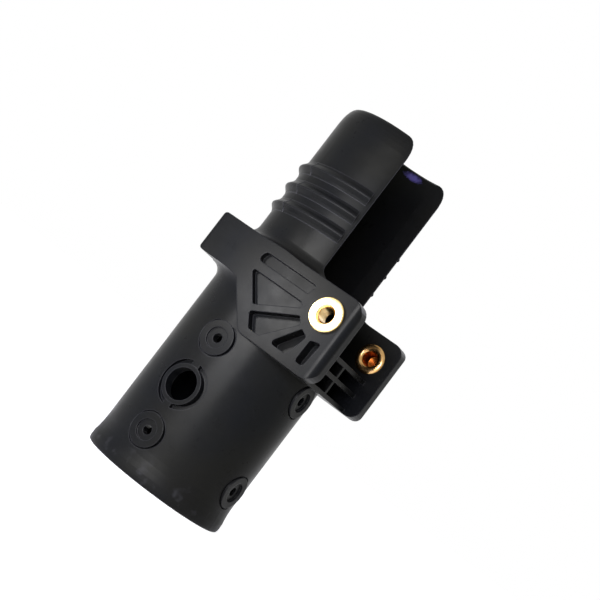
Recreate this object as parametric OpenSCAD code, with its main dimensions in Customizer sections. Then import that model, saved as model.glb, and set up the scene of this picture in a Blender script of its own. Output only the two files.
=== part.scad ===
// Hinged pole socket: one moulded housing with a threaded spigot, a through bushing and a blind bushing.
// Millimetres. Origin: centre of the socket mouth. +Z runs up the tube, +X faces the slot and the ears,
// and the pivot axis is parallel to Y.

/* [Socket sleeve] */
// outer radius of the sleeve
sleeve_r = 30.0; // [29.3:0.1:30]
// radius of the bore that takes the pole
socket_r = 25.6; // [24.8:0.1:27]
// depth of the pole bore, up to its stop shoulder
socket_depth = 79.0; // [72:0.5:95]
// outer radius of the thickened lip at the mouth
lip_r = 30.8; // [30.5:0.1:33]

/* [Spigot] */
// outer radius of the half-open spigot
spigot_r = 27.8; // [27.7:0.1:28.5]
// inner radius of the spigot
spigot_bore_r = 24.55; // [22:0.05:24.7]
// overall height
total_h = 163.9; // [150:0.1:220]
// height of the lowest thread ridge, on the -X side
thread_z = 114.7; // [112:0.1:130]
// lead of the coarse right-hand thread
thread_pitch = 8.8; // [7:0.1:12]
// number of ridges
thread_turns = 3; // [1:1:4]
// half the width of a ridge at its foot
ridge_half = 2.9; // [2:0.1:3.2]
// height of a ridge above the spigot
ridge_rise = 1.9; // [1:0.1:2.5]
// radius of the rounded top corners beside the slot
slot_corner_r = 5.0; // [1:0.5:7]

/* [Collar and ears] */
// half the width across the flat outer faces
face_y = 30.4; // [30.3:0.1:34]
// half the gap between the ears, and half the slot width
gap_y = 23.5; // [22.5:0.1:24.4]
// height of the collar's lower face
collar_z0 = 83.3; // [80:0.1:86]
// height of the collar's upper face
collar_z1 = 100.7; // [99:0.1:104]
// distance from the tube axis to the collar's back face
collar_back = 31.0; // [30.5:0.1:40]
// height of the ears' lower face
ear_z0 = 66.2; // [62:0.1:68]
// distance from the tube axis to the ears' front face
ear_x = 41.5; // [38.5:0.1:60]
// radius of the fillets where the collar meets the tube
fillet_r = 4.5; // [1:0.5:6]

/* [Webs between the ears] */
// distance from the tube axis to the webs' front edge
web_x = 35.2; // [31.5:0.1:41]
// web thickness
web_t = 1.8; // [1:0.1:3]
// height of the middle web
web_mid_z = 74.3; // [70:0.1:78]
// height of the top web
web_top_z = 80.8; // [77:0.1:82.5]

/* [Pivot] */
// distance from the tube axis to the pivot axis
pivot_x = 31.0; // [28:0.1:34]
// height of the pivot axis
pivot_z = 90.0; // [88:0.1:92]
// radius of the pivot bore in the bushings
pivot_bore_r = 3.05; // [2:0.05:3.8]
// outer radius of the bushing barrel
barrel_r = 4.2; // [4:0.05:6]
// radius of the outer flange
flange_r = 6.8; // [6.5:0.1:9]
// thickness of the outer flange
flange_t = 1.5; // [0.8:0.1:3]
// radius of the rolled inner lip
lip_out_r = 6.3; // [5.5:0.1:8]
// height of the rolled inner lip
lip_t = 1.0; // [0.4:0.1:1.2]

/* [Screw pads and ports] */
// height of the lower screw holes
screw_z0 = 17.3; // [15:0.1:20.5]
// height of the upper screw holes
screw_z1 = 59.8; // [56:0.1:60]
// radius of a screw hole
screw_r = 1.85; // [1:0.05:3.5]
// radius of a screw-head counterbore
head_r = 4.2; // [3.8:0.1:6]
// depth of a screw-head counterbore
head_depth = 0.9; // [0.4:0.1:3]
// radius of a flat screw pad
pad_r = 6.9; // [5.5:0.1:7.2]
// distance from the tube axis to the flat of a pad
pad_face = 30.15; // [30.1:0.05:31]
// height of the side ports
port_z = 38.3; // [35:0.1:42]
// radius of a side port
port_r = 6.4; // [3:0.1:7.5]
// outer radius of the flat ring around a side port
port_ring_r = 8.0; // [7:0.1:9.3]
// outer radius of the groove around the ring
port_groove_r = 9.8; // [8.6:0.1:10.4]
// width of the two bridges across the groove
bridge_w = 3.4; // [2:0.1:6]
// width of the fine moat round a screw pad
moat_w = 0.6; // [0.3:0.1:1.5]

/* [Hidden] */
$fn = 96;
// depth of the two shallow fan pockets
shallow = 2.9;
// depth of the middle fan pocket
medium = 3.9;
// depth of the two fan pockets nearest the ear's tip
deep = 5.7;
// distance from the tube axis to the floor of the groove round a port
groove_floor_r = 27.9;
// distance from the tube axis to the floor of the moat round a pad
moat_floor_r = 29.0;
// how far towards +X the shell reaches beside the slot, with a little to spare
slot_edge_x = 15.4;
// angle from +X at which the ridges end, on both sides of the slot
ridge_end = 61.5;
// number of circular arcs that follow one ridge
ridge_arcs = 4;
// sweep of one arc
arc_sweep = (360 - 2 * ridge_end) / ridge_arcs;
// sweep of the narrow collar that joins two arcs
joint_sweep = 1.4;
// how far that collar stands proud of the arcs
joint_rise = 0.12;
// tilt that lets an arc climb with the thread
arc_tilt = atan(thread_pitch * arc_sweep / 720 / (spigot_r * sin(arc_sweep / 2)));

// unit vector along v
function unit(v) = v / norm(v);

// points of one rounded corner at p, between neighbours a and b
function corner(a, p, b, r, n) =
  let (u = unit(a - p))
  let (w = unit(b - p))
  let (h = acos(u * w) / 2)
  let (c = p + unit(u + w) * r / sin(h))
  let (p1 = p + u * r / tan(h) - c)
  let (p2 = p + w * r / tan(h) - c)
  let (a1 = atan2(p1[1], p1[0]))
  let (d = ((atan2(p2[1], p2[0]) - a1 + 540) % 360) - 180)
  [for (i = [0:n]) c + r * [cos(a1 + d * i / n), sin(a1 + d * i / n)]];

// outline with rounded corners from a list of [x, z, radius]
function rounded(q, n = 6) =
  [for (i = [0:len(q) - 1])
    let (m = len(q))
    let (a = q[(i + m - 1) % m])
    let (b = q[(i + 1) % m])
    each corner([a[0], a[1]], [q[i][0], q[i][1]], [b[0], b[1]], q[i][2], n)];

// plate with an outline in the XZ plane, between y0 and y1
module plate(outline, y0, y1) {
  translate([0, y1, 0]) rotate([90, 0, 0]) linear_extrude(height = y1 - y0) polygon(outline);
}

// both the shape given and its mirror image across the XZ plane
module both_sides() {
  children();
  mirror([0, 1, 0]) children();
}

// lathe-turned outside of the sleeve, with its thickened lip
module sleeve_outside() {
  rotate_extrude($fn = 180) polygon([
    [0, 0], [lip_r - 0.9, 0], [lip_r - 0.35, 0.3], [lip_r - 0.08, 1.0],
    [lip_r, 2.0], [lip_r - 0.05, 4.0], [sleeve_r + 0.4, 6.0], [sleeve_r + 0.12, 8.4],
    [sleeve_r, 11.5], [sleeve_r, collar_z0 + 4], [0, collar_z0 + 4]]);
}

// lathe-turned outside of the spigot, with its tapered tip
module spigot_outside() {
  rotate_extrude($fn = 180) polygon([
    [0, collar_z0], [spigot_r, collar_z0], [spigot_r, total_h - 8.0],
    [spigot_r - 0.15, total_h - 5.5], [spigot_r - 0.4, total_h - 3.8],
    [spigot_r - 0.8, total_h - 2.2], [spigot_r - 1.3, total_h - 1.0],
    [spigot_r - 1.85, total_h - 0.3], [spigot_r - 2.35, total_h], [0, total_h]]);
}

// one arc of a thread ridge, with its middle at angle a, and grown by g all round
module ridge_arc(a, sweep, g) {
  foot = ridge_half + g;
  base = spigot_r + 0.16 + g;
  crest = spigot_r + ridge_rise + g;
  rotate([0, 0, a])
    translate([0, 0, thread_pitch * (a - 180) / 360])
    rotate([arc_tilt, 0, 0])
    rotate([0, 0, -sweep / 2])
    rotate_extrude(angle = sweep, $fn = 180)
    polygon([
      [spigot_r - 1.5, -foot], [base, -foot], [base + 0.35, -foot * 0.68],
      [crest - 0.35, -0.75], [crest, -0.25], [crest, 0.25], [crest - 0.35, 0.75],
      [base + 0.35, foot * 0.68], [base, foot], [spigot_r - 1.5, foot]]);
}

// one thread ridge: arcs that climb round the back, with narrow collars over their joints
module thread_ridge() {
  for (i = [0:ridge_arcs - 1]) ridge_arc(ridge_end + (i + 0.5) * arc_sweep, arc_sweep - 0.4, 0);
  for (i = [1:ridge_arcs - 1]) ridge_arc(ridge_end + i * arc_sweep, joint_sweep, joint_rise);
}

// the coarse thread on the spigot, open at the slot
module thread() {
  for (i = [0:thread_turns - 1]) translate([0, 0, thread_z + i * thread_pitch]) thread_ridge();
}

// concave fillet ring on a tube of radius r, growing towards z1 from z0
module fillet_ring(r, z_flat, dir) {
  translate([0, 0, z_flat])
    rotate_extrude($fn = 180)
    difference() {
      translate([r - 3, dir > 0 ? -0.2 : -fillet_r]) square([fillet_r + 3, fillet_r + 0.2]);
      translate([r + fillet_r, dir * fillet_r]) circle(r = fillet_r, $fn = 64);
    }
}

// the ear, its panel and the collar's end, as one outline
module cheek() {
  plate(rounded([
    [-collar_back, collar_z0, 2.6], [-10.0, collar_z0, 3.0], [5.4, ear_z0, 4.5],
    [ear_x, ear_z0, 5.0], [ear_x, collar_z1, 5.0], [-collar_back, collar_z1, 2.6]]), gap_y, face_y);
}

// collar block, cheeks, webs and the fillets that tie them to the tube
module collar_body() {
  intersection() {
    union() {
      plate(rounded([
        [-collar_back, collar_z0, 2.6], [12, collar_z0, 1.8],
        [12, collar_z1, 1.8], [-collar_back, collar_z1, 2.6]]), -face_y, face_y);
      both_sides() cheek();
      intersection() {
        fillet_ring(sleeve_r, collar_z0, -1);
        translate([-50, -face_y, 60]) cube([60, 2 * face_y, 60]);
      }
      fillet_ring(spigot_r, collar_z1, 1);
    }
    translate([0, 0, 50]) linear_extrude(height = 80) polygon(rounded([
      [-collar_back, -face_y, 1.8], [ear_x, -face_y, 3.2],
      [ear_x, face_y, 3.2], [-collar_back, face_y, 1.8]], 8));
  }
  for (z = [ear_z0 + web_t / 2, web_mid_z, web_top_z]) {
    translate([0, -gap_y - 1, z - web_t / 2]) cube([web_x, 2 * gap_y + 2, web_t]);
  }
  translate([0, -web_t / 2, ear_z0]) cube([web_x, web_t, web_top_z - ear_z0]);
}

// flat screw pads and the flat ring round the port, on the -Y side
module side_bosses() {
  for (z = [screw_z0, screw_z1]) {
    translate([0, 0, z]) rotate([90, 0, 0]) cylinder(r = pad_r, h = pad_face);
  }
  translate([0, 0, port_z]) rotate([90, 0, 0]) cylinder(r = port_ring_r, h = pad_face);
}

// screw pads alone, on the +X side
module front_bosses() {
  for (z = [screw_z0, screw_z1]) {
    translate([0, 0, z]) rotate([0, 90, 0]) cylinder(r = pad_r, h = pad_face);
  }
}

// counterbored screw hole through the wall, drilled along +X
module screw_hole() {
  rotate([0, 90, 0]) translate([0, 0, 18]) cylinder(r = screw_r, h = 20, $fn = 48);
  rotate([0, 90, 0]) translate([0, 0, pad_face - head_depth]) cylinder(r = head_r, h = 10, $fn = 64);
}

// fine moat round a screw pad on the +X side, cut to a floor that follows the sleeve, clear of the webs
module pad_moat(z) {
  difference() {
    translate([0, 0, z]) rotate([0, 90, 0]) cylinder(r = pad_r + moat_w, h = 40);
    translate([0, 0, z]) rotate([0, 90, 0]) cylinder(r = pad_r, h = 50);
    translate([0, 0, z - 20]) cylinder(r = moat_floor_r, h = 40, $fn = 180);
    translate([0, -20, ear_z0]) cube(40);
  }
}

// annular groove round a port, cut to a floor that follows the sleeve
module port_groove() {
  difference() {
    translate([0, 0, port_z]) rotate([90, 0, 0]) cylinder(r = port_groove_r, h = 40);
    translate([0, 0, port_z]) rotate([90, 0, 0]) cylinder(r = port_ring_r, h = 50);
    translate([0, 0, port_z - 20]) cylinder(r = groove_floor_r, h = 40, $fn = 180);
    translate([-bridge_w / 2, -50, port_z - 20]) cube([bridge_w, 60, 40]);
  }
}

// one fan pocket in the -Y face, with a flat floor at the given depth
module fan_pocket(q, depth) {
  plate(rounded(q, 5), -face_y - 1, -face_y + depth);
}

// the five pockets that leave a fan of ribs round the pivot
module fan_pockets() {
  fan_pocket([[-6.6, 92.5, 1.6], [19.5, 92.5, 0.7], [20.7, 96.7, 0.9], [-4.8, 96.7, 1.8]], shallow);
  fan_pocket([[-5.9, 88.8, 0.8], [3.6, 77.7, 0.8], [21.4, 87.2, 0.7], [19.1, 88.8, 0.7]], shallow);
  fan_pocket([[4.2, 75.0, 0.9], [8.3, 69.5, 1.2], [13.5, 69.5, 1.2], [24.6, 81.6, 0.8], [22.3, 84.3, 0.8]], medium);
  fan_pocket([[18.4, 69.8, 1.2], [27.3, 69.8, 1.2], [29.7, 79.1, 0.9], [26.3, 80.8, 0.9]], deep);
  fan_pocket([[31.5, 69.8, 1.2], [35.3, 69.8, 1.4], [36.3, 80.3, 0.9], [31.7, 79.1, 0.9]], deep);
}

// everything that is removed from the moulding
module housing_cuts() {
  translate([0, 0, -1]) cylinder(r = socket_r, h = socket_depth + 1, $fn = 180);
  translate([0, 0, 70]) cylinder(r = spigot_bore_r, h = total_h, $fn = 180);
  translate([0, 0, total_h - 0.7]) cylinder(r1 = spigot_bore_r, r2 = spigot_bore_r + 0.71, h = 0.71, $fn = 180);
  translate([0, -gap_y, web_top_z + web_t / 2]) cube([80, 2 * gap_y, total_h]);
  difference() {
    translate([slot_edge_x - slot_corner_r, -40, total_h - slot_corner_r]) cube([30, 80, 20]);
    translate([slot_edge_x - slot_corner_r, 50, total_h - slot_corner_r])
      rotate([90, 0, 0]) cylinder(r = slot_corner_r, h = 100);
  }
  both_sides() fan_pockets();
  both_sides() port_groove();
  translate([0, 45, port_z]) rotate([90, 0, 0]) cylinder(r = port_r, h = 90);
  for (z = [screw_z0, screw_z1]) {
    for (a = [0, 90, 180, 270]) {
      rotate([0, 0, a]) translate([0, 0, z]) screw_hole();
      rotate([0, 0, a]) pad_moat(z);
    }
  }
  translate([pivot_x, 60, pivot_z]) rotate([90, 0, 0]) cylinder(r = barrel_r, h = 120);
}

// one-piece moulding: sleeve, collar with ears, and half-open spigot
module housing() {
  color([0.07, 0.07, 0.08]) difference() {
    union() {
      sleeve_outside();
      spigot_outside();
      thread();
      collar_body();
      both_sides() side_bosses();
      front_bosses();
      mirror([1, 0, 0]) front_bosses();
    }
    housing_cuts();
  }
}

// turned brass blank in the -Y ear: flange outside, barrel, and a lip rolled over the ear's inside
module bushing_blank() {
  lip_mid = (pivot_bore_r + lip_out_r) / 2;
  lip_half = (lip_out_r - pivot_bore_r) / 2;
  rotate([90, 0, 0]) rotate_extrude($fn = 96) polygon(concat(
    [[0, face_y + flange_t], [0, gap_y], [pivot_bore_r, gap_y]],
    [for (a = [165:-15:15]) [lip_mid + lip_half * cos(a), gap_y - lip_t * sin(a)]],
    [[lip_out_r, gap_y], [barrel_r, gap_y], [barrel_r, face_y], [flange_r, face_y],
    [flange_r, face_y + flange_t - 0.4], [flange_r - 0.4, face_y + flange_t]]));
}

// bushing in the -Y ear, bored through for the pivot bolt
module front_bushing() {
  color([0.80, 0.62, 0.25]) translate([pivot_x, 0, pivot_z]) difference() {
    bushing_blank();
    rotate([90, 0, 0]) cylinder(r = pivot_bore_r, h = 60);
    translate([0, -face_y - flange_t + 0.6, 0]) rotate([90, 0, 0])
      cylinder(r1 = pivot_bore_r, r2 = pivot_bore_r + 0.7, h = 0.7);
  }
}

// bushing in the +Y ear, a blind insert that is closed at its flange
module rear_bushing() {
  color([0.80, 0.62, 0.25]) translate([pivot_x, 0, pivot_z]) difference() {
    mirror([0, 1, 0]) bushing_blank();
    translate([0, face_y, 0]) rotate([90, 0, 0]) cylinder(r = pivot_bore_r, h = 60);
  }
}

housing();
front_bushing();
rear_bushing();
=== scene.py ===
"""Hinged pole socket: black moulded housing with a threaded spigot and two brass bushings."""

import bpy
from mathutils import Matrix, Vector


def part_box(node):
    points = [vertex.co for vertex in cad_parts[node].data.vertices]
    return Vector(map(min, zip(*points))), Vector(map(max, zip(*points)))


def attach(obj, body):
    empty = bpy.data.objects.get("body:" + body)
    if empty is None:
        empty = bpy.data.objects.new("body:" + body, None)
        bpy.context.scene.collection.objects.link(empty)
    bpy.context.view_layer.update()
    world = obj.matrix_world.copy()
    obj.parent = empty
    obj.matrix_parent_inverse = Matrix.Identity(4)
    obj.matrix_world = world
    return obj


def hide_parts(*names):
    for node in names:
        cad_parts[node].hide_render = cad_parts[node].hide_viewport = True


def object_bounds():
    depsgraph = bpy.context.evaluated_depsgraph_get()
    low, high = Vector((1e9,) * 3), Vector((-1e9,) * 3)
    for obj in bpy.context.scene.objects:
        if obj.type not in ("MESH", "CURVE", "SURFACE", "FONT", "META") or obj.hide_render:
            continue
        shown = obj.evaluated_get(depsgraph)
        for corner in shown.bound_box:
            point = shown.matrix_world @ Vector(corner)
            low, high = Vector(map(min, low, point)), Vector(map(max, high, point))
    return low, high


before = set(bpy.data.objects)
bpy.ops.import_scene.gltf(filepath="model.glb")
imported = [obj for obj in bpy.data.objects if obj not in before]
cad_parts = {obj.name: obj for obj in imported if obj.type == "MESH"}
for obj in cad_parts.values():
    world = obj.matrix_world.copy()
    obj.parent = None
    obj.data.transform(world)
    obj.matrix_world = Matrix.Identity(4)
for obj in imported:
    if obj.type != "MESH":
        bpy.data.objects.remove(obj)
CAD_BOX = [list(corner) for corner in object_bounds()]

import math

import bmesh
import bpy
from mathutils import Matrix, Vector

bl_info = {
    "name": "Hinged Pole Socket",
    "version": (1, 1, 0),
    "blender": (4, 5, 0),
    "location": "View3D > Sidebar > Pole Socket",
    "description": "Dresses the packed pole socket and sets its studio",
    "category": "Add Mesh",
}

MM = 0.001
# chamfer round a bushing's flange, and the width and depth of the lead-in at its bore
FLANGE_CHAMFER = 0.4 * MM
LEAD_IN = 0.7 * MM
LEAD_IN_DEPTH = 0.9 * MM
# width of the small bevel on a bushing's turned corners, and how many steps a full turn has
TURNED_BEVEL = 0.1 * MM
TURN_STEPS = 96
# colour of the lamps, a cool daylight
LAMP_TINT = (0.82, 0.82, 1.0)
# each bushing's CAD node, and the side of the middle plane that its ear stands on
BUSHINGS = {"front_bushing": -1, "rear_bushing": 1}


# ---------------------------------------------------------------- small tools

def srgb(hex_text):
    """Linear RGBA from an sRGB hex colour."""
    out = []
    for i in (1, 3, 5):
        c = int(hex_text[i:i + 2], 16) / 255
        out.append(c / 12.92 if c <= 0.04045 else ((c + 0.055) / 1.055) ** 2.4)
    return (*out, 1.0)


def node(tree, kind, inputs=None, **settings):
    """Adds a node with its settings; each input is linked to a socket or set to a value."""
    made = tree.nodes.new(kind)
    for name, value in settings.items():
        setattr(made, name, value)
    for key, value in (inputs or {}).items():
        if isinstance(value, bpy.types.NodeSocket):
            tree.links.new(value, made.inputs[key])
        else:
            made.inputs[key].default_value = value
    return made


def new_material(name):
    """An empty node material, and its Object coordinates in millimetres."""
    material = bpy.data.materials.new(name)
    material.use_nodes = True
    tree = material.node_tree
    tree.nodes.clear()
    place = node(tree, "ShaderNodeTexCoord").outputs["Object"]
    mm = node(tree, "ShaderNodeMapping", {"Vector": place, "Scale": (1 / MM, 1 / MM, 1 / MM)})
    return material, tree, mm.outputs["Vector"]


# ------------------------------------------------------------------ materials

def moulded_nylon(props):
    """Glass-filled nylon 6, injection moulded and black all through. The tool's spark texture leaves an
    even satin skin that spreads highlights wide; flow and packing vary its tint and gloss softly, the edges
    are paled, partly as handling wear and partly as painted highlight, and the rim that stands on the ground
    is scuffed."""
    material, tree, mm = new_material("moulded_glass_filled_nylon")
    # spark texture: the real grain is about 0.1 mm, drawn 0.4 mm wide so that it shows
    grain = node(tree, "ShaderNodeTexNoise", {"Vector": mm, "Scale": 2.5, "Detail": 3.0, "Roughness": 0.55})
    # flow marks, some 30 mm long
    flow = node(tree, "ShaderNodeTexNoise", {"Vector": mm, "Scale": 0.033, "Detail": 2.0, "Roughness": 0.5})
    # handling smears, some 6 mm across
    smear = node(tree, "ShaderNodeTexNoise", {"Vector": mm, "Scale": 0.16, "Detail": 4.0, "Roughness": 0.6})
    # scuffs, some 5 mm across
    scuff = node(tree, "ShaderNodeTexNoise", {"Vector": mm, "Scale": 0.2, "Detail": 2.0, "Roughness": 0.5})
    rounded = node(tree, "ShaderNodeBevel", {"Radius": props.edge_radius}, samples=8)
    true_normal = node(tree, "ShaderNodeNewGeometry").outputs["Normal"]
    turned = node(tree, "ShaderNodeVectorMath", {0: rounded.outputs[0], 1: true_normal},
                  operation="DOT_PRODUCT")
    # edges found from the rounded normal are paled: partly handling wear, partly painted highlight
    edge_wear_and_highlight = node(tree, "ShaderNodeMapRange", {"Value": turned.outputs["Value"], "From Min": 0.995,
                                             "From Max": 0.90, "To Max": 0.35})
    # above the collar the spigot's edges are paled more strongly, as painted highlight
    height = node(tree, "ShaderNodeSeparateXYZ", {"Vector": mm}).outputs["Z"]
    spigot_highlight_boost = node(tree, "ShaderNodeMapRange", {"Value": height, "From Min": 101.0, "From Max": 104.0,
                                             "To Min": 1.0, "To Max": 2.2})
    rubbed_and_lit_edge = node(tree, "ShaderNodeMath", {0: edge_wear_and_highlight.outputs[0], 1: spigot_highlight_boost.outputs[0]},
                       operation="MULTIPLY")
    tint = node(tree, "ShaderNodeMapRange", {"Value": flow.outputs["Fac"], "From Min": 0.35,
                                             "From Max": 0.65})
    skin = node(tree, "ShaderNodeMixRGB", {"Fac": tint.outputs[0], "Color1": props.body_colour,
                                           "Color2": props.body_warm})
    worn_and_lit = node(tree, "ShaderNodeMixRGB", {"Fac": rubbed_and_lit_edge.outputs[0], "Color1": skin.outputs[0],
                                           "Color2": props.wear_and_highlight_colour})
    # scuffs fade out some 14 mm above the rim
    low = node(tree, "ShaderNodeMapRange", {"Value": height, "From Min": 14.0, "From Max": 3.0})
    patch = node(tree, "ShaderNodeMapRange", {"Value": scuff.outputs["Fac"], "From Min": 0.58,
                                              "From Max": 0.78, "To Max": 0.5})
    rubbed = node(tree, "ShaderNodeMath", {0: low.outputs[0], 1: patch.outputs[0]}, operation="MULTIPLY")
    rimmed = node(tree, "ShaderNodeMixRGB", {"Fac": rubbed.outputs[0], "Color1": worn_and_lit.outputs[0],
                                             "Color2": props.wear_and_highlight_colour})
    # a dab of marking ink inside the spigot's tip, about 8 mm wide and 3 mm high
    dab = node(tree, "ShaderNodeMapping", {"Vector": mm, "Location": props.ink_place,
                                           "Scale": (4.2, 4.2, 1.6)}, vector_type="TEXTURE")
    reach = node(tree, "ShaderNodeVectorMath", {0: dab.outputs[0]}, operation="LENGTH")
    # the ink took unevenly, in blots some 1 mm across
    blot = node(tree, "ShaderNodeTexNoise", {"Vector": mm, "Scale": 1.0, "Detail": 3.0})
    ragged = node(tree, "ShaderNodeMath", {0: blot.outputs["Fac"], 1: 0.9, 2: reach.outputs["Value"]},
                  operation="MULTIPLY_ADD")
    inked = node(tree, "ShaderNodeMapRange", {"Value": ragged.outputs[0], "From Min": 1.6,
                                              "From Max": 0.85, "To Max": 0.85})
    tone = node(tree, "ShaderNodeMixRGB", {"Fac": inked.outputs[0], "Color1": rimmed.outputs[0],
                                           "Color2": props.ink_colour})
    bump = node(tree, "ShaderNodeBump", {"Height": grain.outputs["Fac"], "Normal": rounded.outputs[0],
                                         "Strength": props.grain_strength, "Distance": 0.03 * MM})
    gloss = node(tree, "ShaderNodeMapRange", {"Value": smear.outputs["Fac"], "From Min": 0.3,
                                              "From Max": 0.7, "To Min": props.body_roughness - 0.04,
                                              "To Max": props.body_roughness + 0.05})
    # the rim's skin is rubbed duller
    dulled = node(tree, "ShaderNodeMath", {0: low.outputs[0], 1: 0.2, 2: gloss.outputs[0]},
                  operation="MULTIPLY_ADD")
    shader = node(tree, "ShaderNodeBsdfPrincipled", {
        "Base Color": tone.outputs[0], "Roughness": dulled.outputs[0], "Normal": bump.outputs[0],
        "IOR": 1.53, "Specular IOR Level": props.body_specular, "Specular Tint": props.body_sheen})
    node(tree, "ShaderNodeOutputMaterial", {"Surface": shader.outputs[0]})
    return material


def turned_brass(props, pivot):
    """Free-cutting brass, turned on a lathe: fine tool lines run round the pivot axis. Its flanges are
    bright, with soft patches dulled by fingering; the bores and the lip on +Y carry painted shade in brown."""
    material, tree, mm = new_material("turned_free_cutting_brass")
    local = node(tree, "ShaderNodeMapping", {"Vector": mm, "Location": (-pivot.x / MM, 0, -pivot.z / MM)})
    parts = node(tree, "ShaderNodeSeparateXYZ", {"Vector": local.outputs[0]})
    flat = node(tree, "ShaderNodeCombineXYZ", {"X": parts.outputs["X"], "Y": parts.outputs["Z"]})
    radius = node(tree, "ShaderNodeVectorMath", {0: flat.outputs[0]}, operation="LENGTH")
    # tool lines 0.12 mm apart
    lines = node(tree, "ShaderNodeTexNoise", {"W": radius.outputs["Value"], "Scale": 8.0, "Detail": 2.0},
                 noise_dimensions="1D")
    bump = node(tree, "ShaderNodeBump", {"Height": lines.outputs["Fac"], "Strength": 0.2,
                                         "Distance": 0.02 * MM})
    # dulled patches, some 2 mm across
    stain = node(tree, "ShaderNodeTexNoise", {"Vector": mm, "Scale": 0.5, "Detail": 3.0})
    dull = node(tree, "ShaderNodeMapRange", {"Value": stain.outputs["Fac"], "From Min": 0.4,
                                             "From Max": 0.7})
    tone = node(tree, "ShaderNodeMixRGB", {"Fac": dull.outputs[0], "Color1": props.brass_colour,
                                           "Color2": props.brass_dull})
    # painted shade in brown inside the bores, darkest in the blind one on +Y
    bore = props.bore_radius / MM
    across = parts.outputs["Y"]
    inside = node(tree, "ShaderNodeMapRange", {"Value": radius.outputs["Value"], "From Min": bore + 0.35,
                                               "From Max": bore + 0.1})
    blind = node(tree, "ShaderNodeMapRange", {"Value": across, "From Min": -1.0, "From Max": 1.0,
                                              "To Min": 0.3})
    # it stops inside the closed flange, 30.6 mm from the middle plane
    under = node(tree, "ShaderNodeMath", {0: across, 1: 30.6}, operation="LESS_THAN")
    hidden = node(tree, "ShaderNodeMath", {0: inside.outputs[0], 1: under.outputs[0]},
                  operation="MULTIPLY")
    bore_painted_shade = node(tree, "ShaderNodeMath", {0: hidden.outputs[0], 1: blind.outputs[0]},
                     operation="MULTIPLY")
    # painted shade on the lip on +Y as well, standing in for its dark reflection, within 24.4 mm of the
    # middle plane
    lip_shade_ramp = node(tree, "ShaderNodeMapRange", {"Value": across, "From Min": 24.4, "From Max": 23.8,
                                                "To Max": 0.6})
    beyond = node(tree, "ShaderNodeMath", {0: across, 1: 0.0}, operation="GREATER_THAN")
    lip = node(tree, "ShaderNodeMath", {0: lip_shade_ramp.outputs[0], 1: beyond.outputs[0]},
               operation="MULTIPLY")
    # the painted shade of the bores and the lip, mixed into the brass
    painted_shade = node(tree, "ShaderNodeMath", {0: bore_painted_shade.outputs[0], 1: lip.outputs[0]},
               operation="MAXIMUM")
    shaded_brass_tone = node(tree, "ShaderNodeMixRGB", {"Fac": painted_shade.outputs[0], "Color1": tone.outputs[0],
                                           "Color2": props.brass_painted_shade})
    shader = node(tree, "ShaderNodeBsdfPrincipled", {
        "Base Color": shaded_brass_tone.outputs[0], "Normal": bump.outputs[0], "Metallic": 1.0,
        "Roughness": props.brass_roughness})
    node(tree, "ShaderNodeOutputMaterial", {"Surface": shader.outputs[0]})
    return material


def studio_rays(tree):
    """1 for camera, glossy and transmission rays, which see the surround as plain white; else 0."""
    path = node(tree, "ShaderNodeLightPath")
    first = node(tree, "ShaderNodeMath", {0: path.outputs["Is Camera Ray"],
                                          1: path.outputs["Is Glossy Ray"]}, operation="MAXIMUM")
    both = node(tree, "ShaderNodeMath", {0: first.outputs[0], 1: path.outputs["Is Transmission Ray"]},
                operation="MAXIMUM")
    return both.outputs[0]


def studio_paper():
    """White background paper, matt and very slightly mottled by its fibres. The studio's rays see it
    lifted to white, and the shadow stays on it."""
    material, tree, mm = new_material("white_studio_paper")
    # fibre clumps, some 1.2 mm across
    fibre = node(tree, "ShaderNodeTexNoise", {"Vector": mm, "Scale": 0.8, "Detail": 3.0})
    tone = node(tree, "ShaderNodeMixRGB", {"Fac": fibre.outputs["Fac"], "Color1": srgb("#F4F4F4"),
                                           "Color2": srgb("#F9F9F9")})
    paper = node(tree, "ShaderNodeBsdfPrincipled", {"Base Color": tone.outputs[0], "Roughness": 0.9,
                                                    "Specular IOR Level": 0.1})
    lift = node(tree, "ShaderNodeMath", {0: studio_rays(tree), 1: 0.85}, operation="MULTIPLY")
    glow = node(tree, "ShaderNodeEmission", {"Color": (1, 1, 1, 1), "Strength": lift.outputs[0]})
    both = node(tree, "ShaderNodeAddShader", {0: paper.outputs[0], 1: glow.outputs[0]})
    node(tree, "ShaderNodeOutputMaterial", {"Surface": both.outputs[0]})
    material.cycles.emission_sampling = "NONE"
    return material


# ------------------------------------------------------------------- settings

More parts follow.
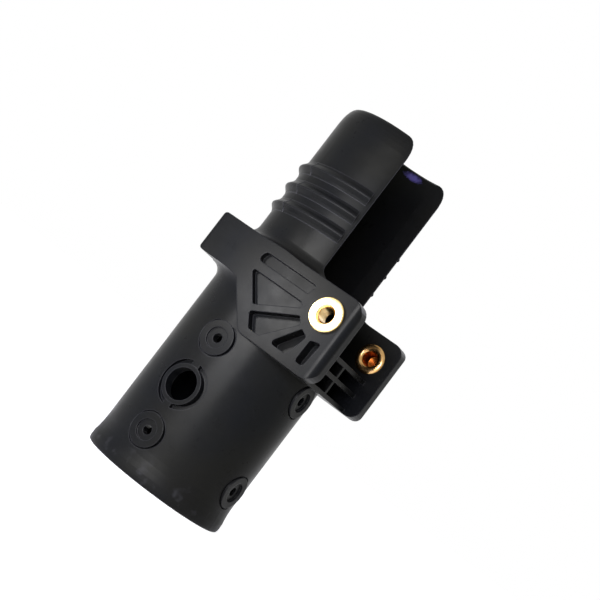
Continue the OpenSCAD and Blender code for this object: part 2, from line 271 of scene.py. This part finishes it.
class SocketSettings(bpy.types.PropertyGroup):
    """Sizes and colours of the pole socket's own pieces."""

    body_colour: bpy.props.FloatVectorProperty(
        name="Moulding", description="Colour of the black moulding",
        default=srgb("#0D0E0F"), size=4, min=0.0, max=1.0, subtype="COLOR")
    body_warm: bpy.props.FloatVectorProperty(
        name="Moulding, warm", description="Colour where the flow leaves it warmer",
        default=srgb("#11110F"), size=4, min=0.0, max=1.0, subtype="COLOR")
    # colour of the pale edges and the rim scuffs: wear and scuffs, and on the edges partly painted highlight
    wear_and_highlight_colour: bpy.props.FloatVectorProperty(
        name="Moulding, worn", description="Colour of rubbed edges and scuffs",
        default=srgb("#343434"), size=4, min=0.0, max=1.0, subtype="COLOR")
    body_roughness: bpy.props.FloatProperty(
        name="Moulding roughness", description="Roughness of the satin skin", default=0.3,
        min=0.05, max=0.95, subtype="FACTOR")
    body_specular: bpy.props.FloatProperty(
        name="Moulding specular", description="Strength of the skin's reflection", default=0.05,
        min=0.0, max=1.0, subtype="FACTOR")
    body_sheen: bpy.props.FloatVectorProperty(
        name="Moulding sheen", description="Tint of the skin's reflection",
        default=(1.0, 0.99, 0.80, 1.0), size=4, min=0.0, max=1.0, subtype="COLOR")
    edge_radius: bpy.props.FloatProperty(
        name="Edge radius", description="Rounding of the moulding's edges", default=0.45 * MM,
        min=0.0, max=2 * MM, precision=5, unit="LENGTH")
    grain_strength: bpy.props.FloatProperty(
        name="Grain", description="Strength of the spark texture", default=0.2,
        min=0.0, max=1.0, subtype="FACTOR")
    ink_colour: bpy.props.FloatVectorProperty(
        name="Ink", description="Colour of the dab of marking ink",
        default=srgb("#6A62A8"), size=4, min=0.0, max=1.0, subtype="COLOR")
    ink_place: bpy.props.FloatVectorProperty(
        name="Ink place", description="Middle of the ink dab, in millimetres",
        default=(-3.1, 24.3, 161.3), size=3, subtype="XYZ")
    brass_colour: bpy.props.FloatVectorProperty(
        name="Brass", description="Colour of the bright brass",
        default=srgb("#EBD193"), size=4, min=0.0, max=1.0, subtype="COLOR")
    brass_dull: bpy.props.FloatVectorProperty(
        name="Brass, dull", description="Colour of the duller brass",
        default=srgb("#DCB870"), size=4, min=0.0, max=1.0, subtype="COLOR")
    # painted shade: the brown that darkens the bores and the lip on +Y
    brass_painted_shade: bpy.props.FloatVectorProperty(
        name="Brass, tarnished", description="Colour of the brass deep inside the bores",
        default=srgb("#8A4F1E"), size=4, min=0.0, max=1.0, subtype="COLOR")
    brass_roughness: bpy.props.FloatProperty(
        name="Brass roughness", description="Roughness of the turned brass", default=0.24,
        min=0.0, max=1.0, subtype="FACTOR")
    bore_radius: bpy.props.FloatProperty(
        name="Bore radius", description="Radius of the pivot bore in the bushings", default=3.05 * MM,
        min=2 * MM, max=4 * MM, precision=5, unit="LENGTH")
    barrel_radius: bpy.props.FloatProperty(
        name="Barrel radius", description="Outer radius of a bushing's barrel", default=4.2 * MM,
        min=4 * MM, max=5 * MM, precision=5, unit="LENGTH")
    lip_radius: bpy.props.FloatProperty(
        name="Lip radius", description="Outer radius of the lip rolled over the ear's inside",
        default=6.3 * MM, min=5 * MM, max=8 * MM, precision=5, unit="LENGTH")
    flange_thickness: bpy.props.FloatProperty(
        name="Flange thickness", description="Thickness of a bushing's outer flange", default=1.5 * MM,
        min=1 * MM, max=3 * MM, precision=5, unit="LENGTH")
    lip_thickness: bpy.props.FloatProperty(
        name="Lip height", description="Height of the rolled lip above the ear's inside", default=1.0 * MM,
        min=0.4 * MM, max=2 * MM, precision=5, unit="LENGTH")


class StudioSettings(bpy.types.PropertyGroup):
    """Camera and lights."""

    camera_distance: bpy.props.FloatProperty(
        name="Distance", description="Camera to the middle of the part", default=0.53285,
        min=0.1, unit="LENGTH")
    camera_azimuth: bpy.props.FloatProperty(
        name="Azimuth", description="Turn of the view about the tube axis", default=math.radians(27.796),
        subtype="ANGLE")
    camera_elevation: bpy.props.FloatProperty(
        name="Elevation", description="Height of the view above level", default=math.radians(-3.997),
        subtype="ANGLE")
    camera_roll: bpy.props.FloatProperty(
        name="Roll", description="Lean of the view about its own axis", default=math.radians(37.272),
        subtype="ANGLE")
    camera_lens: bpy.props.FloatProperty(
        name="Lens", description="Focal length in millimetres for a 36 mm sensor", default=82.747, min=10.0)
    camera_target: bpy.props.FloatVectorProperty(
        name="Target", description="Point at the middle of the view", default=(0.00487, -0.00462, 0.09097),
        subtype="XYZ", unit="LENGTH")
    surround: bpy.props.FloatProperty(
        name="Surround", description="Even light that the surround gives from all sides", default=0.2,
        min=0.0, max=1.0, subtype="FACTOR")


# -------------------------------------------------------------------- pieces

class POLESOCKET_OT_housing(bpy.types.Operator):
    """Gives the housing its moulded nylon"""

    bl_idname = "polesocket.housing"
    bl_label = "Housing"

    def execute(self, context):
        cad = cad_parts["housing"]
        cad.data.materials.clear()
        cad.data.materials.append(moulded_nylon(context.scene.socket_settings))
        return {"FINISHED"}


def bushing_mesh(name, side, props):
    """One bushing turned about the pivot axis: outer flange, barrel through the ear, and a lip rolled
    over the ear's inside. side is -1 for the bored one on -Y and +1 for the blind one on +Y."""
    low, high = (Vector(corner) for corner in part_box(name))
    pivot = (low + high) / 2
    outer = max(abs(low.y), abs(high.y))
    inner = min(abs(low.y), abs(high.y))
    flange_radius = (high.x - low.x) / 2
    bore, barrel, lip = props.bore_radius, props.barrel_radius, props.lip_radius
    face = outer - props.flange_thickness
    gap = inner + props.lip_thickness
    middle, half = (bore + lip) / 2, (lip - bore) / 2
    # the rolled lip, a half ellipse in steps of 15 degrees
    turns = [math.radians(angle) for angle in range(165, 0, -15)]
    roll = [(middle + half * math.cos(turn), gap - props.lip_thickness * math.sin(turn)) for turn in turns]
    # (radius, distance from the middle plane), along the section
    outside = [*roll, (lip, gap), (barrel, gap), (barrel, face), (flange_radius, face),
               (flange_radius, outer - FLANGE_CHAMFER), (flange_radius - FLANGE_CHAMFER, outer)]
    if side < 0:
        section = [(bore, gap), *outside, (bore + LEAD_IN, outer), (bore, outer - LEAD_IN_DEPTH),
                   (bore, gap)]
    else:
        section = [(0, face), (bore, face), (bore, gap), *outside, (0, outer)]
    made = bmesh.new()
    points = [made.verts.new((pivot.x + r, side * y, pivot.z)) for r, y in section]
    for first, second in zip(points, points[1:]):
        made.edges.new((first, second))
    bmesh.ops.spin(made, geom=made.verts[:] + made.edges[:], cent=(pivot.x, 0, pivot.z), axis=(0, 1, 0),
                   angle=2 * math.pi, steps=TURN_STEPS, use_merge=True, use_duplicate=False)
    bmesh.ops.remove_doubles(made, verts=made.verts, dist=0.001 * MM)
    bmesh.ops.recalc_face_normals(made, faces=made.faces)
    corners = [e for e in made.edges if e.is_manifold and e.calc_face_angle() > math.radians(25)]
    bmesh.ops.bevel(made, geom=corners, offset=TURNED_BEVEL, offset_type="OFFSET", affect="EDGES",
                    segments=2, profile=0.5, material=-1, clamp_overlap=True)
    for face_made in made.faces:
        face_made.smooth = True
    mesh = bpy.data.meshes.new(name + "_turned")
    made.to_mesh(mesh)
    made.free()
    piece = bpy.data.objects.new(name + "_turned", mesh)
    bpy.context.scene.collection.objects.link(piece)
    return piece, pivot


class POLESOCKET_OT_bushings(bpy.types.Operator):
    """Turns both bushings in brass"""

    bl_idname = "polesocket.bushings"
    bl_label = "Bushings"

    def execute(self, context):
        props = context.scene.socket_settings
        made = None
        for name, side in BUSHINGS.items():
            piece, pivot = bushing_mesh(name, side, props)
            made = made or turned_brass(props, pivot)
            piece.data.materials.append(made)
            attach(piece, "root")
            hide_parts(name)
        return {"FINISHED"}


# --------------------------------------------------------------------- stage

# each lamp's place and aim in metres, its width and height, and its power in watts
LAMPS = {
    "panel_softbox": ((-0.059, -0.162, 0.090), (0.014, -0.030, 0.082), (0.022, 0.03), 0.21),
    "front_softbox": ((0.051, -0.325, 0.100), (0.009, -0.028, 0.083), (0.21, 0.10), 2.5),
    "back_softbox": ((0.10, 0.50, 0.50), (0.0, 0.0, 0.08), (0.30, 0.30), 0.4),
}


def soft_lamp(name, place, target, size, power):
    """A rectangular area lamp that faces the target and is itself unseen."""
    data = bpy.data.lights.new(name, "AREA")
    data.shape = "RECTANGLE"
    data.size, data.size_y = size
    data.energy = power
    data.color = LAMP_TINT
    lamp = bpy.data.objects.new(name, data)
    bpy.context.scene.collection.objects.link(lamp)
    lamp.location = place
    lamp.rotation_euler = (Vector(target) - Vector(place)).to_track_quat("-Z", "Y").to_euler()
    lamp.visible_camera = False


def pale_floor():
    """Floor of studio paper, just under the rim."""
    mesh = bpy.data.meshes.new("studio_floor")
    made = bmesh.new()
    bmesh.ops.create_grid(made, x_segments=1, y_segments=1, size=6.0)
    bmesh.ops.translate(made, verts=made.verts, vec=(0, 0, CAD_BOX[0][2] - 0.2 * MM))
    made.to_mesh(mesh)
    made.free()
    mesh.materials.append(studio_paper())
    floor = bpy.data.objects.new("studio_floor", mesh)
    bpy.context.scene.collection.objects.link(floor)


def white_surround(scene, level):
    """World that gives an even light, and that the studio's rays see as plain white."""
    world = bpy.data.worlds.new("white_surround")
    scene.world = world
    world.use_nodes = True
    tree = world.node_tree
    tree.nodes.clear()
    light = node(tree, "ShaderNodeBackground", {"Color": (1, 1, 1, 1), "Strength": level})
    white = node(tree, "ShaderNodeBackground", {"Color": (1, 1, 1, 1), "Strength": 1.0})
    mix = node(tree, "ShaderNodeMixShader", {0: studio_rays(tree), 1: light.outputs[0], 2: white.outputs[0]})
    node(tree, "ShaderNodeOutputWorld", {"Surface": mix.outputs[0]})
    world.cycles.sampling_method = "NONE"


def studio_camera(scene, props):
    """Camera turned about the tube's axis and leaned about its own."""
    azimuth, elevation, roll = props.camera_azimuth, props.camera_elevation, props.camera_roll
    back = Vector((math.sin(azimuth) * math.cos(elevation),
                   -math.cos(azimuth) * math.cos(elevation), math.sin(elevation)))
    level_right = Vector((math.cos(azimuth), math.sin(azimuth), 0))
    level_up = back.cross(level_right)
    right = level_right * math.cos(roll) + level_up * math.sin(roll)
    up = level_up * math.cos(roll) - level_right * math.sin(roll)
    data = bpy.data.cameras.new("studio_camera")
    data.lens = props.camera_lens
    data.sensor_width = 36.0
    data.clip_start, data.clip_end = 0.01, 50.0
    camera = bpy.data.objects.new("studio_camera", data)
    scene.collection.objects.link(camera)
    turned = Matrix((right, up, back)).transposed().to_4x4()
    turned.translation = Vector(props.camera_target) + back * props.camera_distance
    camera.matrix_world = turned
    scene.camera = camera


class POLESOCKET_OT_studio(bpy.types.Operator):
    """Sets the floor, the soft lamps, the white surround and the camera"""

    bl_idname = "polesocket.studio"
    bl_label = "Studio"

    def execute(self, context):
        scene = context.scene
        pale_floor()
        white_surround(scene, scene.studio_settings.surround)
        for name, (place, target, size, power) in LAMPS.items():
            soft_lamp(name, place, target, size, power)
        studio_camera(scene, scene.studio_settings)
        scene.view_settings.view_transform = "Standard"
        return {"FINISHED"}


# --------------------------------------------------------------------- panel

class POLESOCKET_PT_panel(bpy.types.Panel):
    """Lists the pieces and the studio"""

    bl_idname = "POLESOCKET_PT_panel"
    bl_label = "Pole Socket"
    bl_space_type = "VIEW_3D"
    bl_region_type = "UI"
    bl_category = "Pole Socket"

    def draw(self, context):
        layout = self.layout
        for name in STEPS:
            layout.operator(f"polesocket.{name}")
        for settings in (context.scene.socket_settings, context.scene.studio_settings):
            for key in settings.__annotations__:
                layout.prop(settings, key)


STEPS = ("housing", "bushings", "studio")
CLASSES = (SocketSettings, StudioSettings, POLESOCKET_OT_housing, POLESOCKET_OT_bushings,
           POLESOCKET_OT_studio, POLESOCKET_PT_panel)


def register():
    """Adds the classes and the settings they read."""
    for cls in CLASSES:
        bpy.utils.register_class(cls)
    bpy.types.Scene.socket_settings = bpy.props.PointerProperty(type=SocketSettings)
    bpy.types.Scene.studio_settings = bpy.props.PointerProperty(type=StudioSettings)


def unregister():
    """Takes them away again."""
    del bpy.types.Scene.studio_settings
    del bpy.types.Scene.socket_settings
    for cls in reversed(CLASSES):
        bpy.utils.unregister_class(cls)


def main():
    """Runs every step in order."""
    register()
    for name in STEPS:
        getattr(bpy.ops.polesocket, name)()


if __name__ == "__main__":
    main()
